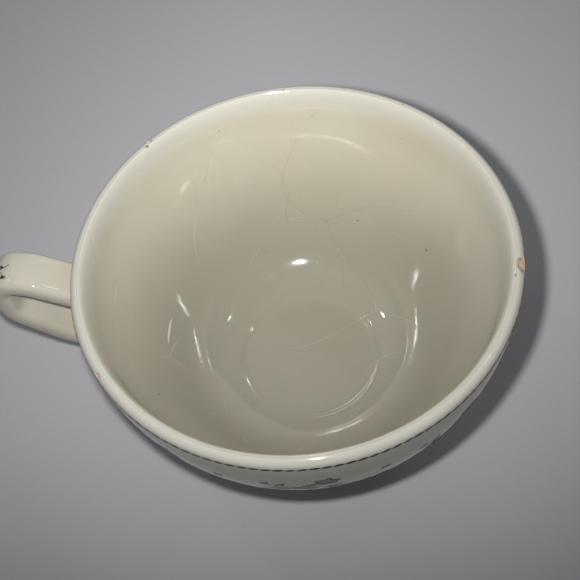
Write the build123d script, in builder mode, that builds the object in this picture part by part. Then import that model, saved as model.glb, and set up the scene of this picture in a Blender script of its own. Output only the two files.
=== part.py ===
"""Earthenware teacup with a strap handle: body, foot ring, handle, luting joints and glaze coats.

Millimetres, +Z up. The origin is the centre of the plane that the foot ring stands on, and the
handle points along -X.
"""

from build123d import *
from math import cos, radians, sin, sqrt
import os

# Cup body
cup_height = 57.0
rim_radius = 48.75
wall_thickness = 3.7
side_curve_radius = 65.0
side_curve_sweep = 42.6
inside_curve_sweep = 40.0
underside_height = 4.6
floor_height = 8.6
floor_radius = 16.4
floor_step_radius = 18.3
floor_step_rise = 0.5
glaze_thickness = 0.3

# Soft inner shoulder of the lip: how far it runs down the side curve, and how long it stays level
# at the crown and straight above the wall
lip_blend_sweep = 5.5
lip_crown_pull = 1.2
lip_wall_pull = 4.0

# Foot ring
foot_outer_radius = 24.2
foot_inner_radius = 19.8
foot_taper = 1.0
foot_taper_height = 2.6
foot_edge_radius = 0.8

# Strap handle: corners of its centre line as (distance from the axis, height)
strap_corners = [
    (42.5, 36.95),
    (62.6, 47.75),
    (69.3, 47.55),
    (69.2, 36.15),
    (59.0, 26.15),
    (50.5, 22.4),
    (28.0, 16.7),
]
strap_corner_radii = [11.0, 4.0, 6.5, 20.0, 25.0]
strap_width = 10.6
strap_thickness = 5.4
strap_edge_radius = 2.3

# Collars of clay slip where the strap meets the wall
collar_spread = 3.0
collar_lip = 0.35
collar_length = 3.0
collar_root = 6.0

# Chip in the lip
chip_angle = -4.5
chip_tilt = 50.0
chip_length = 3.1
chip_depth = 0.75

lip_radius = wall_thickness / 2
lip_centre = (rim_radius - lip_radius, cup_height - lip_radius)
side_centre = (rim_radius - side_curve_radius, cup_height - lip_radius)
inside_curve_radius = side_curve_radius - wall_thickness


def on_circle(centre, radius, angle):
    """Return the point at an angle in degrees on a circle."""
    return (centre[0] + radius * cos(radians(angle)), centre[1] + radius * sin(radians(angle)))


def bend_to_level(start, angle, level):
    """Return the centre and radius of the arc that leaves a side curve smoothly and ends level."""
    radius = (start[1] - level) / (1 + sin(radians(angle)))
    return on_circle(start, -radius, angle), radius


side_end = on_circle(side_centre, side_curve_radius, -side_curve_sweep)
heel_centre, heel_radius = bend_to_level(side_end, -side_curve_sweep, underside_height)
inside_end = on_circle(side_centre, inside_curve_radius, -inside_curve_sweep)
bowl_bend_centre, bowl_bend_radius = bend_to_level(
    inside_end, -inside_curve_sweep, floor_height + floor_step_rise
)
step_run = floor_step_radius - bowl_bend_centre[0]
step_drop = sqrt(bowl_bend_radius**2 - step_run**2)


def outside_outline(depth):
    """Draw the outer half of the cup's outline, this far below the glazed surface."""
    lip = CenterArc(lip_centre, lip_radius - depth, 90, -90)
    side = CenterArc(side_centre, side_curve_radius - depth, 0, -side_curve_sweep)
    heel = CenterArc(heel_centre, heel_radius - depth, -side_curve_sweep, side_curve_sweep - 90)
    under = Line(heel @ 1, (0, underside_height + depth))
    return lip, side, heel, under


def inside_outline(depth):
    """Draw the inner half of the cup's outline, this far below the glazed surface."""
    crown = (lip_centre[0], cup_height - depth)
    wall_top = on_circle(side_centre, inside_curve_radius + depth, -lip_blend_sweep)
    lip = Bezier(
        crown,
        (crown[0] - lip_crown_pull, crown[1]),
        on_circle(wall_top, lip_wall_pull, 90 - lip_blend_sweep),
        wall_top,
    )
    side = CenterArc(
        side_centre,
        inside_curve_radius + depth,
        -lip_blend_sweep,
        lip_blend_sweep - inside_curve_sweep,
    )
    reach = (bowl_bend_radius + depth) / bowl_bend_radius
    step_top = (
        bowl_bend_centre[0] + step_run * reach,
        bowl_bend_centre[1] - step_drop * reach,
    )
    bend = RadiusArc(side @ 1, step_top, bowl_bend_radius + depth)
    step = Spline(
        step_top,
        (floor_radius, floor_height - depth),
        tangents=[(-step_drop, -step_run), (-1, 0)],
    )
    bottom = Line(step @ 1, (0, floor_height - depth))
    return lip, side, bend, step, bottom


def chip_scoop():
    """Take the chip's shallow scoop out of the part being built."""
    radius = ((chip_length / 2) ** 2 + chip_depth**2) / (2 * chip_depth)
    distance, height = on_circle(lip_centre, lip_radius - chip_depth + radius, chip_tilt)
    x, y = on_circle((0, 0), distance, chip_angle)
    with Locations((x, y, height)):
        Sphere(radius, mode=Mode.SUBTRACT)


# Everything inside the unglazed outer face, used to trim what is stuck onto it
with BuildPart() as clay_envelope:
    with BuildSketch(Plane.XZ):
        with BuildLine():
            outside_outline(glaze_thickness)
            Line((0, underside_height + glaze_thickness), (0, cup_height - glaze_thickness))
            Line((0, cup_height - glaze_thickness), (lip_centre[0], cup_height - glaze_thickness))
        make_face()
    revolve(axis=Axis.Z)

# Thrown bowl with its floor and rounded lip
with BuildPart() as bowl:
    with BuildSketch(Plane.XZ):
        with BuildLine():
            outside_outline(glaze_thickness)
            inside_outline(glaze_thickness)
            Line((0, underside_height + glaze_thickness), (0, floor_height - glaze_thickness))
        make_face()
    revolve(axis=Axis.Z)
    chip_scoop()

# Foot ring, with a narrow flat that carries the cup
with BuildPart() as foot_ring:
    with BuildSketch(Plane.XZ):
        with BuildLine():
            Polyline(
                (foot_inner_radius, floor_height),
                (foot_inner_radius, foot_taper_height),
                (foot_inner_radius + foot_taper, 0),
                (foot_outer_radius - foot_taper, 0),
                (foot_outer_radius, foot_taper_height),
                (foot_outer_radius, floor_height),
                close=True,
            )
        make_face()
    revolve(axis=Axis.Z)
    base_edges = foot_ring.edges().group_by(Axis.Z)[0]
    fillet(base_edges, foot_edge_radius)
    add(clay_envelope.part, mode=Mode.SUBTRACT)

# Strap handle, pressed with soft edges and bent through two outer corners
with BuildPart() as handle:
    with BuildLine(Plane.XZ) as strap_line:
        FilletPolyline(*[(-r, z) for r, z in strap_corners], radius=strap_corner_radii)
    strap_path = strap_line.wires()[0]
    with BuildSketch(Plane(strap_path @ 0, x_dir=(0, 1, 0), z_dir=strap_path % 0)):
        RectangleRounded(strap_width, strap_thickness, strap_edge_radius)
    sweep(path=strap_path)
    add(clay_envelope.part, mode=Mode.SUBTRACT)


def collar(at_wall):
    """Build one flared collar of slip round the strap, its wide end buried in the wall."""
    outward = strap_path % at_wall if at_wall < 0.5 else -(strap_path % at_wall)
    seat = Plane(strap_path @ at_wall, x_dir=(0, 1, 0), z_dir=outward)
    with BuildPart() as slip:
        for height, spread in ((-collar_root, collar_spread), (collar_length, collar_lip)):
            with BuildSketch(seat.offset(height)):
                RectangleRounded(
                    strap_width + 2 * spread,
                    strap_thickness + 2 * spread,
                    strap_edge_radius + spread,
                )
        loft()
        add(handle.part, mode=Mode.SUBTRACT)
        add(clay_envelope.part, mode=Mode.SUBTRACT)
    return slip


def wall_crossing(first, last):
    """Return where along the strap's centre line, between two shares, it meets the glazed wall."""
    for _ in range(40):
        middle = (first + last) / 2
        point = strap_path @ middle
        away = sqrt((abs(point.X) - side_centre[0]) ** 2 + (point.Z - side_centre[1]) ** 2)
        inside_wall = away < side_curve_radius
        if inside_wall == (first < 0.5):
            first = middle
        else:
            last = middle
    return middle


upper_handle_joint = collar(wall_crossing(0, 0.3))
lower_handle_joint = collar(wall_crossing(0.7, 1))

# Glaze coats: inside, outside down to the foot ring, and in the hollow of the foot
with BuildPart() as inner_glaze:
    with BuildSketch(Plane.XZ):
        with BuildLine():
            inside_outline(0)
            inside_outline(glaze_thickness)
            Line((lip_centre[0], cup_height), (lip_centre[0], cup_height - glaze_thickness))
            Line((0, floor_height), (0, floor_height - glaze_thickness))
        make_face()
    revolve(axis=Axis.Z)
    chip_scoop()

with BuildPart() as outer_coat:
    with BuildSketch(Plane.XZ):
        with BuildLine():
            outside_outline(0)
            outside_outline(glaze_thickness)
            Line((lip_centre[0], cup_height), (lip_centre[0], cup_height - glaze_thickness))
            Line((0, underside_height), (0, underside_height + glaze_thickness))
        make_face()
    revolve(axis=Axis.Z)

with BuildPart() as outer_glaze:
    add(outer_coat.part)
    with Locations((0, 0, floor_height / 2)):
        Cylinder(foot_outer_radius, floor_height, mode=Mode.SUBTRACT)
    add(handle.part, mode=Mode.SUBTRACT)
    add(upper_handle_joint.part, mode=Mode.SUBTRACT)
    add(lower_handle_joint.part, mode=Mode.SUBTRACT)
    chip_scoop()

with BuildPart() as base_glaze:
    add(outer_coat.part)
    with Locations((0, 0, floor_height / 2)):
        Cylinder(foot_inner_radius, floor_height, mode=Mode.INTERSECT)

bowl.part.label = "bowl"
foot_ring.part.label = "foot_ring"
handle.part.label = "handle"
upper_handle_joint.part.label = "upper_handle_joint"
lower_handle_joint.part.label = "lower_handle_joint"
inner_glaze.part.label = "inner_glaze"
outer_glaze.part.label = "outer_glaze"
base_glaze.part.label = "base_glaze"

os.makedirs("parts", exist_ok=True)
export_step(bowl.part, "parts/bowl.step")
export_step(foot_ring.part, "parts/foot_ring.step")
export_step(handle.part, "parts/handle.step")
export_step(upper_handle_joint.part, "parts/upper_handle_joint.step")
export_step(lower_handle_joint.part, "parts/lower_handle_joint.step")
export_step(inner_glaze.part, "parts/inner_glaze.step")
export_step(outer_glaze.part, "parts/outer_glaze.step")
export_step(base_glaze.part, "parts/base_glaze.step")
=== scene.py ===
"""Looks of an earthenware teacup: cream crazed glaze, dark printed sprigs and rim border, strap handle.

The file is laid out as an add-on: sizes and colours are scene properties, and every piece is made by
an operator of its own. Lengths are in metres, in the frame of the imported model, with the origin under
the centre of the foot ring and the handle along -X.
"""

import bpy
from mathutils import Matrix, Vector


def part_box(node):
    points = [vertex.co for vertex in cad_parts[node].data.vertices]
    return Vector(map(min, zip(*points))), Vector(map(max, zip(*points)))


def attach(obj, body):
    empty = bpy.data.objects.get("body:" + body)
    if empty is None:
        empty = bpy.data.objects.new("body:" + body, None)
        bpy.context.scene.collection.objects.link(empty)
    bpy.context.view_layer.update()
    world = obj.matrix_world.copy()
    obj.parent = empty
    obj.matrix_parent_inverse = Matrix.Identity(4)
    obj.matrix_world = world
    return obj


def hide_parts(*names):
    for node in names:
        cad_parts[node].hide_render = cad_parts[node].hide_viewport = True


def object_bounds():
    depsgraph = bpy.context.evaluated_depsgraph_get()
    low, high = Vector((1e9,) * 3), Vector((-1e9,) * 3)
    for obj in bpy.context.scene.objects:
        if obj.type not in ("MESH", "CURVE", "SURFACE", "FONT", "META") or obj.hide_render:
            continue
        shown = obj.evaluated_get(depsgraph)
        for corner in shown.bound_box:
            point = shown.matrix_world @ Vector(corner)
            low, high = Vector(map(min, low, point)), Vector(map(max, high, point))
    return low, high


bl_info = {
    "name": "Earthenware teacup",
    "version": (1, 0, 0),
    "blender": (4, 5, 0),
    "location": "View3D > Sidebar > Teacup",
    "description": "Builds the glazed body, handle, printed pattern and stage of a teacup",
    "category": "Object",
}

from math import acos, atan2, cos, hypot, pi, radians, sin, sqrt

import bmesh
import bpy
import numpy as np
from bpy.props import FloatProperty, FloatVectorProperty, IntProperty, PointerProperty
from bpy.types import Operator, Panel, PropertyGroup
from mathutils import Matrix, Vector, noise

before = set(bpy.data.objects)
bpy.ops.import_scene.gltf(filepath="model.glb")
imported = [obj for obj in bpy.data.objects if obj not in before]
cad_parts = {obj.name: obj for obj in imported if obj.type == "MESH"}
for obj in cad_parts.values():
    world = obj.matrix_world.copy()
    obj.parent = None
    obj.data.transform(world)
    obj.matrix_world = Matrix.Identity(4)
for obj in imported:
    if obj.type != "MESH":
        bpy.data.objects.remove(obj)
CAD_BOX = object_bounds()
COAT_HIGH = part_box("outer_glaze")[1]
FOOT_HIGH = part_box("foot_ring")[1]
BASE_LOW, BASE_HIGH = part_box("base_glaze")
STRAP_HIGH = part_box("handle")[1]
INSIDE_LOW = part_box("inner_glaze")[0]

MM = 0.001

# Strap's centre line, as (distance from the axis, height) with the bend radius at each inner corner
STRAP_CORNERS = (
    (42.5, 36.95),
    (62.6, 47.75),
    (69.3, 47.55),
    (69.2, 36.15),
    (59.0, 26.15),
    (50.5, 22.4),
    (28.0, 16.7),
)
STRAP_BENDS = (11.0, 4.0, 6.5, 20.0, 25.0)

# Strap's thickness and the round of its edges, and how far a joint spreads along strap and wall
STRAP_THICK = 0.0054
STRAP_ROUND = 0.0023
JOINT_ALONG_STRAP = 0.0021
JOINT_ALONG_WALL = 0.0019

# Twice the height of the handle's print above the strap's centre line
SPRAY_LEVEL = 0.00539

# Damage to the lip: (angle round the cup, tilt over the lip, length along it, depth), degrees and mm
CHIP = (-4.5, 50.0, 3.1, 0.75)
NICKS = (
    (165.0, 50.0, 0.5, 0.12),
    (218.5, 44.0, 0.6, 0.15),
    (139.5, 70.0, 0.4, 0.08),
    (71.0, 34.0, 0.4, 0.09),
)

# How much wider the glaze flakes away than the clay under it
FLAKE_SPARE = 0.00022

# Dark marks on the lip: (angle round the cup, tilt over the lip, size), degrees and mm
LIP_MARKS = ((140.8, 100, 0.5), (138.6, 84, 0.35), (96, 100, 0.3), (60, 80, 0.28), (352, 95, 0.3))

# Dark marks on the inner wall: (angle round the cup, degrees down the side's arc, size), degrees and mm
INNER_MARKS = (
    (118, 4.5, 0.28),
    (88, 5.5, 0.24),
    (36, 30, 0.34),
    (70, 33, 0.3),
    (330, 9, 0.28),
    (8, 15, 0.22),
    (205, 12, 0.25),
    (250, 22, 0.28),
)

# Gloss of the glaze, and how deep and how strongly its waves show
GLAZE_IOR = 1.55
WAVE_DEPTH = 0.00022
WAVE_STRENGTH = 0.55


# ---------------------------------------------------------------- sizes and colours


class TeacupShape(PropertyGroup):
    """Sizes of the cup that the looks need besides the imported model's boxes."""

    side_radius: FloatProperty(
        name="Side curve", description="Radius of the arc that the cup's side follows",
        default=0.065, unit="LENGTH",
    )
    wall: FloatProperty(
        name="Wall", description="Thickness of the wall with its glaze", default=0.0037, unit="LENGTH"
    )
    side_sweep: FloatProperty(
        name="Side sweep", description="How far the outer side runs round its arc before the heel",
        default=radians(42.6), subtype="ANGLE", unit="ROTATION",
    )
    inside_sweep: FloatProperty(
        name="Inside sweep",
        description="How far the inner side runs round its arc before the bend to the floor",
        default=radians(40.0), subtype="ANGLE", unit="ROTATION",
    )
    lip_blend: FloatProperty(
        name="Lip blend", description="How far down the side's arc the lip's soft inner shoulder runs",
        default=radians(5.5), subtype="ANGLE", unit="ROTATION",
    )
    crown_pull: FloatProperty(
        name="Crown pull", description="How long the lip stays level at its crown",
        default=0.0012, unit="LENGTH",
    )
    wall_pull: FloatProperty(
        name="Wall pull", description="How long the lip stays straight above the wall",
        default=0.004, unit="LENGTH",
    )
    floor_radius: FloatProperty(
        name="Floor", description="Radius of the flat floor inside", default=0.0164, unit="LENGTH"
    )
    step_radius: FloatProperty(
        name="Floor step", description="Radius where the floor's soft step starts",
        default=0.0183, unit="LENGTH",
    )
    step_rise: FloatProperty(
        name="Step rise", description="Height of the floor's soft step", default=0.0005, unit="LENGTH"
    )
    glaze: FloatProperty(
        name="Glaze", description="Thickness of the glaze coats", default=0.0003, unit="LENGTH"
    )
    print_room: FloatProperty(
        name="Print room",
        description="How far the glaze face lies below the packed face, to leave room for the print",
        default=0.00003, unit="LENGTH",
    )
    turns: IntProperty(name="Lathe divisions", description="Divisions round the cup", default=288, min=48)


class TeacupPrint(PropertyGroup):
    """Counts and sizes of the printed pattern."""

    dashes: IntProperty(
        name="Rim dashes", description="Number of dashes in the rim border", default=132, min=12
    )
    sprigs: IntProperty(name="Sprigs", description="Number of sprigs round the side", default=9, min=2)
    sprig_drop: FloatProperty(
        name="Sprig drop",
        description="Distance from the rim border down to the middle of the sprigs, along the side",
        default=0.0155, unit="LENGTH",
    )
    spray_middle: FloatProperty(
        name="Spray place",
        description="Distance along the strap from its upper end to the middle of the handle's spray",
        default=0.0325, unit="LENGTH",
    )
    seed: IntProperty(name="Seed", description="Seed of the small irregularities", default=7)


class TeacupColours(PropertyGroup):
    """Base colours, linear."""

    cream: FloatVectorProperty(
        name="Cream glaze", description="Glaze over clay", subtype="COLOR", size=3,
        default=(0.62, 0.595, 0.52),
    )
    # Painted light and shade: the inside colour is a lighter copy of the cream, and the colour below it a
    # darker, greyer one that the inner glaze turns to low in the bowl.
    inside: FloatVectorProperty(
        name="Inside glaze", description="Glaze of the bowl's inside", subtype="COLOR", size=3,
        default=(0.65, 0.625, 0.535),
    )
    low_painted_shade: FloatVectorProperty(
        name="Low painted shade", description="Painted shade, a greyer, darker colour low inside the bowl", subtype="COLOR", size=3,
        default=(0.36, 0.342, 0.277),
    )
    lip: FloatVectorProperty(
        name="Lip", description="Thicker, whiter glaze on the lip", subtype="COLOR", size=3,
        default=(0.62, 0.605, 0.545),
    )
    stain: FloatVectorProperty(
        name="Stain", description="Tea stain in crazing and pools", subtype="COLOR", size=3,
        default=(0.36, 0.27, 0.16),
    )
    clay: FloatVectorProperty(
        name="Clay", description="Bare fired clay", subtype="COLOR", size=3,
        default=(0.58, 0.44, 0.34),
    )
    ink: FloatVectorProperty(
        name="Print", description="Dark brown-black print", subtype="COLOR", size=3,
        default=(0.020, 0.014, 0.011),
    )
    floor: FloatVectorProperty(
        name="Floor", description="Plain pale floor", subtype="COLOR", size=3,
        default=(0.60, 0.61, 0.65),
    )


class TeacupStage(PropertyGroup):
    """Place, aim, roll and lens of the camera."""

    camera_at: FloatVectorProperty(
        name="Camera", description="Place of the camera", subtype="XYZ", unit="LENGTH", size=3,
        default=(0.02177, -0.10746, 0.21512),
    )
    camera_aim: FloatVectorProperty(
        name="Aim", description="Point that the camera looks at", subtype="XYZ", unit="LENGTH", size=3,
        default=(-0.00004, -0.00907, 0.05515),
    )
    camera_roll: FloatProperty(
        name="Roll", description="Turn of the camera about its line of sight", default=radians(-10.59),
        subtype="ANGLE", unit="ROTATION",
    )
    lens: FloatProperty(name="Lens", description="Focal length in millimetres", default=55.86, subtype="NONE")


# ---------------------------------------------------------------- outlines of the cup


def arc(centre, radius, start, end, steps):
    """Return points on an arc, as (distance from the axis, height); angles are in radians."""
    return [
        (centre[0] + radius * cos(a), centre[1] + radius * sin(a)) for a in np.linspace(start, end, steps)
    ]


def cup_outline(shape):
    """Work out the circles that the cup's outline is made of."""
    rim = COAT_HIGH.x
    lip = shape.wall / 2
    height = COAT_HIGH.z
    side_centre = (rim - shape.side_radius, height - lip)
    heel_angle, bend_angle = -shape.side_sweep, -shape.inside_sweep
    side_end = arc(side_centre, shape.side_radius, heel_angle, heel_angle, 1)[0]
    heel = (side_end[1] - BASE_LOW.z) / (1 + sin(heel_angle))
    inner = shape.side_radius - shape.wall
    floor = INSIDE_LOW.z + shape.glaze
    inside_end = arc(side_centre, inner, bend_angle, bend_angle, 1)[0]
    bend = (inside_end[1] - floor - shape.step_rise) / (1 + sin(bend_angle))
    return {
        "lip": lip,
        "lip_centre": (rim - lip, height - lip),
        "side_centre": side_centre,
        "side": shape.side_radius,
        "inner": inner,
        "heel_angle": heel_angle,
        "heel": heel,
        "heel_centre": (side_end[0] - heel * cos(heel_angle), side_end[1] - heel * sin(heel_angle)),
        "bend_angle": bend_angle,
        "bend": bend,
        "bend_centre": (inside_end[0] - bend * cos(bend_angle), inside_end[1] - bend * sin(bend_angle)),
        "floor": floor,
        "floor_radius": shape.floor_radius,
        "step_radius": shape.step_radius,
        "lip_blend": shape.lip_blend,
        "crown_pull": shape.crown_pull,
        "wall_pull": shape.wall_pull,
    }


def outside_points(o, depth, stop):
    """Return the outside from the top of the lip down to a distance from the axis, at a depth."""
    points = arc(o["lip_centre"], o["lip"] - depth, pi / 2, 0, 12)
    points += arc(o["side_centre"], o["side"] - depth, 0, o["heel_angle"], 34)[1:]
    radius = o["heel"] - depth
    reach = max(stop - o["heel_centre"][0], 0)
    end = -acos(min(reach / radius, 1))
    points += arc(o["heel_centre"], radius, o["heel_angle"], end, 12)[1:]
    if stop < o["heel_centre"][0]:
        points.append((stop, o["heel_centre"][1] - radius))
    return points


def inside_points(o, depth):
    """Return the inside from the top of the lip down to the middle of the floor, at a depth."""
    crown = np.array((o["lip_centre"][0], o["lip_centre"][1] + o["lip"] - depth))
    blend_angle = -o["lip_blend"]
    wall_top = np.array(arc(o["side_centre"], o["inner"] + depth, blend_angle, blend_angle, 1)[0])
    level = crown - (o["crown_pull"], 0)
    straight = wall_top + o["wall_pull"] * np.array((-sin(blend_angle), cos(blend_angle)))
    points = []
    for t in np.linspace(0, 1, 15):
        u = 1 - t
        spot = crown * u**3 + level * 3 * u * u * t + straight * 3 * u * t * t + wall_top * t**3
        points.append((float(spot[0]), float(spot[1])))
    points += arc(o["side_centre"], o["inner"] + depth, blend_angle, o["bend_angle"], 32)[1:]
    radius = o["bend"] + depth
    step = o["step_radius"] - o["bend_centre"][0]
    points += arc(o["bend_centre"], radius, o["bend_angle"], -acos(step / radius), 16)[1:]
    start = points[-1]
    end = (o["floor_radius"], o["floor"] - depth)
    for share in np.linspace(0, 1, 9)[1:]:
        ease = share * share * (3 - 2 * share)
        lean = (1 - share) ** 2 * share * 0.12
        x = start[0] + (end[0] - start[0]) * share
        points.append((x, start[1] + (end[1] - start[1]) * ease - lean * (start[0] - end[0])))
    points += [(end[0] * s, end[1]) for s in (0.85, 0.6, 0.3, 0)]
    return points


# ---------------------------------------------------------------- node helpers


def node(tree, kind, inputs=None, **settings):
    """Add a node, set its settings, and link or set its inputs."""
    made = tree.nodes.new(kind)
    for key, value in settings.items():
        setattr(made, key, value)
    for key, value in (inputs or {}).items():
        if isinstance(value, bpy.types.NodeSocket):
            tree.links.new(value, made.inputs[key])
        else:
            made.inputs[key].default_value = value
    return made


def maths(tree, operation, first, second=0.0, third=0.0):
    """Add a Math node and return its output."""
    inputs = {0: first, 1: second, 2: third}
    return node(tree, "ShaderNodeMath", inputs, operation=operation).outputs[0]


def remap(tree, value, low, high, to_low=0.0, to_high=1.0):
    """Add a clamped Map Range node with soft ends and return its output."""
    inputs = {"Value": value, "From Min": low, "From Max": high, "To Min": to_low, "To Max": to_high}
    made = node(tree, "ShaderNodeMapRange", inputs)
    made.interpolation_type = "SMOOTHSTEP"
    return made.outputs[0]


def blend(tree, factor, first, second):
    """Add a colour Mix node and return its output."""
    made = node(tree, "ShaderNodeMix", data_type="RGBA", blend_type="MIX")
    for socket, value in ((made.inputs[0], factor), (made.inputs[6], first), (made.inputs[7], second)):
        if isinstance(value, bpy.types.NodeSocket):
            tree.links.new(value, socket)
        elif isinstance(value, float):
            socket.default_value = value
        else:
            socket.default_value = (*value, 1.0)
    return made.outputs[2]


def new_group(kind, name, inputs, outputs):
    """Make an empty node group with named sockets and return it with its two end nodes."""
    tree = bpy.data.node_groups.new(name, kind)
    for label, socket, default in inputs:
        made = tree.interface.new_socket(label, in_out="INPUT", socket_type=socket)
        if default is not None:
            made.default_value = default
    for label, socket in outputs:
        tree.interface.new_socket(label, in_out="OUTPUT", socket_type=socket)
    return tree, tree.nodes.new("NodeGroupInput"), tree.nodes.new("NodeGroupOutput")


def use_group(tree, group, **inputs):
    """Place a shader node group and return it."""
    made = tree.nodes.new("ShaderNodeGroup")
    made.node_tree = group
    for key, value in inputs.items():
        label = key.replace("_", " ")
        if isinstance(value, bpy.types.NodeSocket):
            tree.links.new(value, made.inputs[label])
        else:
            made.inputs[label].default_value = value
    return made


# ---------------------------------------------------------------- surface effects


def crazing_group():
    """Fine curved cracks in the glaze, thinned out to the places where the glaze is stressed."""
    tree, start, end = new_group(
        "ShaderNodeTree",
        "Glaze crazing",
        [
            ("Place", "NodeSocketVector", None),
            ("Cell", "NodeSocketFloat", 60.0),
            ("Width", "NodeSocketFloat", 0.008),
            ("Cover", "NodeSocketFloat", 0.5),
        ],
        [("Mask", "NodeSocketFloat")],
    )
    place = start.outputs["Place"]
    bend = node(tree, "ShaderNodeTexNoise", {"Vector": place, "Scale": 22.0, "Detail": 1.0})
    pushed = node(
        tree,
        "ShaderNodeVectorMath",
        {0: bend.outputs["Color"], 1: (0.05, 0.05, 0.05), 2: place},
        operation="MULTIPLY_ADD",
    )
    cells = node(
        tree,
        "ShaderNodeTexVoronoi",
        {"Vector": pushed.outputs[0], "Scale": start.outputs["Cell"], "Randomness": 1.0},
        feature="DISTANCE_TO_EDGE",
    )
    line = remap(tree, cells.outputs["Distance"], 0.0, start.outputs["Width"], 1.0, 0.0)
    cover = node(tree, "ShaderNodeTexNoise", {"Vector": place, "Scale": 42.0, "Detail": 1.0})
    low = maths(tree, "SUBTRACT", 1.0, start.outputs["Cover"])
    high = maths(tree, "ADD", low, 0.16)
    seen = remap(tree, cover.outputs["Fac"], low, high)
    tree.links.new(maths(tree, "MULTIPLY", line, seen), end.inputs["Mask"])
    return tree


def speck_group():
    """Small iron specks scattered in the glaze, each of its own size."""
    tree, start, end = new_group(
        "ShaderNodeTree",
        "Iron specks",
        [
            ("Place", "NodeSocketVector", None),
            ("Spacing", "NodeSocketFloat", 140.0),
            ("Size", "NodeSocketFloat", 0.05),
            ("Share", "NodeSocketFloat", 0.1),
        ],
        [("Mask", "NodeSocketFloat")],
    )
    cells = node(
        tree, "ShaderNodeTexVoronoi", {"Vector": start.outputs["Place"], "Scale": start.outputs["Spacing"]}
    )
    parts = node(tree, "ShaderNodeSeparateColor", {"Color": cells.outputs["Color"]})
    size = maths(tree, "MULTIPLY", start.outputs["Size"], maths(tree, "ADD", parts.outputs[1], 0.35))
    dot = remap(tree, cells.outputs["Distance"], maths(tree, "MULTIPLY", size, 0.5), size, 1.0, 0.0)
    kept = maths(tree, "LESS_THAN", parts.outputs[0], start.outputs["Share"])
    tree.links.new(maths(tree, "MULTIPLY", dot, kept), end.inputs["Mask"])
    return tree


def ripple_group():
    """Slow waves and pinholes of a hand-dipped glaze, as a height."""
    tree, start, end = new_group(
        "ShaderNodeTree",
        "Glaze ripple",
        [("Place", "NodeSocketVector", None), ("Fine", "NodeSocketFloat", 0.1)],
        [("Height", "NodeSocketFloat"), ("Tone", "NodeSocketFloat")],
    )
    place = start.outputs["Place"]
    slow = node(tree, "ShaderNodeTexNoise", {"Vector": place, "Scale": 70.0, "Detail": 2.0, "Roughness": 0.4})
    fine = node(tree, "ShaderNodeTexNoise", {"Vector": place, "Scale": 900.0, "Detail": 1.0})
    tone = node(tree, "ShaderNodeTexNoise", {"Vector": place, "Scale": 34.0, "Detail": 3.0})
    height = maths(tree, "MULTIPLY_ADD", fine.outputs["Fac"], start.outputs["Fine"], slow.outputs["Fac"])
    tree.links.new(height, end.inputs["Height"])
    tree.links.new(tone.outputs["Fac"], end.inputs["Tone"])
    return tree


def spot_group():
    """One soft-edged mark at a place on the cup."""
    tree, start, end = new_group(
        "ShaderNodeTree",
        "Mark at a place",
        [
            ("Place", "NodeSocketVector", None),
            ("Centre", "NodeSocketVector", None),
            ("Size", "NodeSocketFloat", 0.0006),
        ],
        [("Mask", "NodeSocketFloat")],
    )
    ragged = node(
        tree, "ShaderNodeTexNoise", {"Vector": start.outputs["Place"], "Scale": 1500.0, "Detail": 2.0}
    )
    away = node(
        tree,
        "ShaderNodeVectorMath",
        {0: start.outputs["Place"], 1: start.outputs["Centre"]},
        operation="DISTANCE",
    )
    edge = maths(tree, "MULTIPLY", start.outputs["Size"], maths(tree, "ADD", ragged.outputs["Fac"], 0.5))
    mask = remap(tree, away.outputs["Value"], maths(tree, "MULTIPLY", edge, 0.55), edge, 1.0, 0.0)
    tree.links.new(mask, end.inputs["Mask"])
    return tree


def lip_group():
    """How near a place is to the round of the lip."""
    tree, start, end = new_group(
        "ShaderNodeTree",
        "Lip band",
        [
            ("Place", "NodeSocketVector", None),
            ("Lip radius", "NodeSocketFloat", 0.0469),
            ("Lip height", "NodeSocketFloat", 0.05515),
            ("Inner edge", "NodeSocketFloat", 0.002),
            ("Outer edge", "NodeSocketFloat", 0.004),
        ],
        [("Mask", "NodeSocketFloat")],
    )
    axes = node(tree, "ShaderNodeSeparateXYZ", {0: start.outputs["Place"]})
    flat = maths(tree, "POWER", axes.outputs["X"], 2.0)
    flat = maths(tree, "ADD", flat, maths(tree, "POWER", axes.outputs["Y"], 2.0))
    out = maths(tree, "SUBTRACT", maths(tree, "SQRT", flat), start.outputs["Lip radius"])
    up = maths(tree, "SUBTRACT", axes.outputs["Z"], start.outputs["Lip height"])
    squares = maths(tree, "ADD", maths(tree, "POWER", out, 2.0), maths(tree, "POWER", up, 2.0))
    away = maths(tree, "SQRT", squares)
    mask = remap(tree, away, start.outputs["Inner edge"], start.outputs["Outer edge"], 1.0, 0.0)
    tree.links.new(mask, end.inputs["Mask"])
    return tree


def effect(name):
    """Return one of the shared effect groups, building it the first time."""
    makers = {
        "Glaze crazing": crazing_group,
        "Iron specks": speck_group,
        "Glaze ripple": ripple_group,
        "Mark at a place": spot_group,
        "Lip band": lip_group,
    }
    return bpy.data.node_groups.get(name) or makers[name]()


# ---------------------------------------------------------------- materials


def new_material(name):
    """Make an empty node material and return it with its tree, shader and object coordinates."""
    material = bpy.data.materials.new(name)
    material.use_nodes = True
    tree = material.node_tree
    shader = tree.nodes["Principled BSDF"]
    place = node(tree, "ShaderNodeTexCoord").outputs["Object"]
    return material, tree, shader, place


def bump(tree, shader, height, distance, strength):
    """Drive the shader's normal with a height."""
    made = node(tree, "ShaderNodeBump", {"Height": height, "Distance": distance, "Strength": strength})
    tree.links.new(made.outputs[0], shader.inputs["Normal"])


def lip_place(outline, turn, tilt, depth=0.0):
    """Return a point on the lip: degrees round the cup, and degrees of tilt over the lip."""
    reach = outline["lip"] - depth
    distance = outline["lip_centre"][0] + reach * cos(radians(tilt))
    height = outline["lip_centre"][1] + reach * sin(radians(tilt))
    return Vector((distance * cos(radians(turn)), distance * sin(radians(turn)), height))


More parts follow.
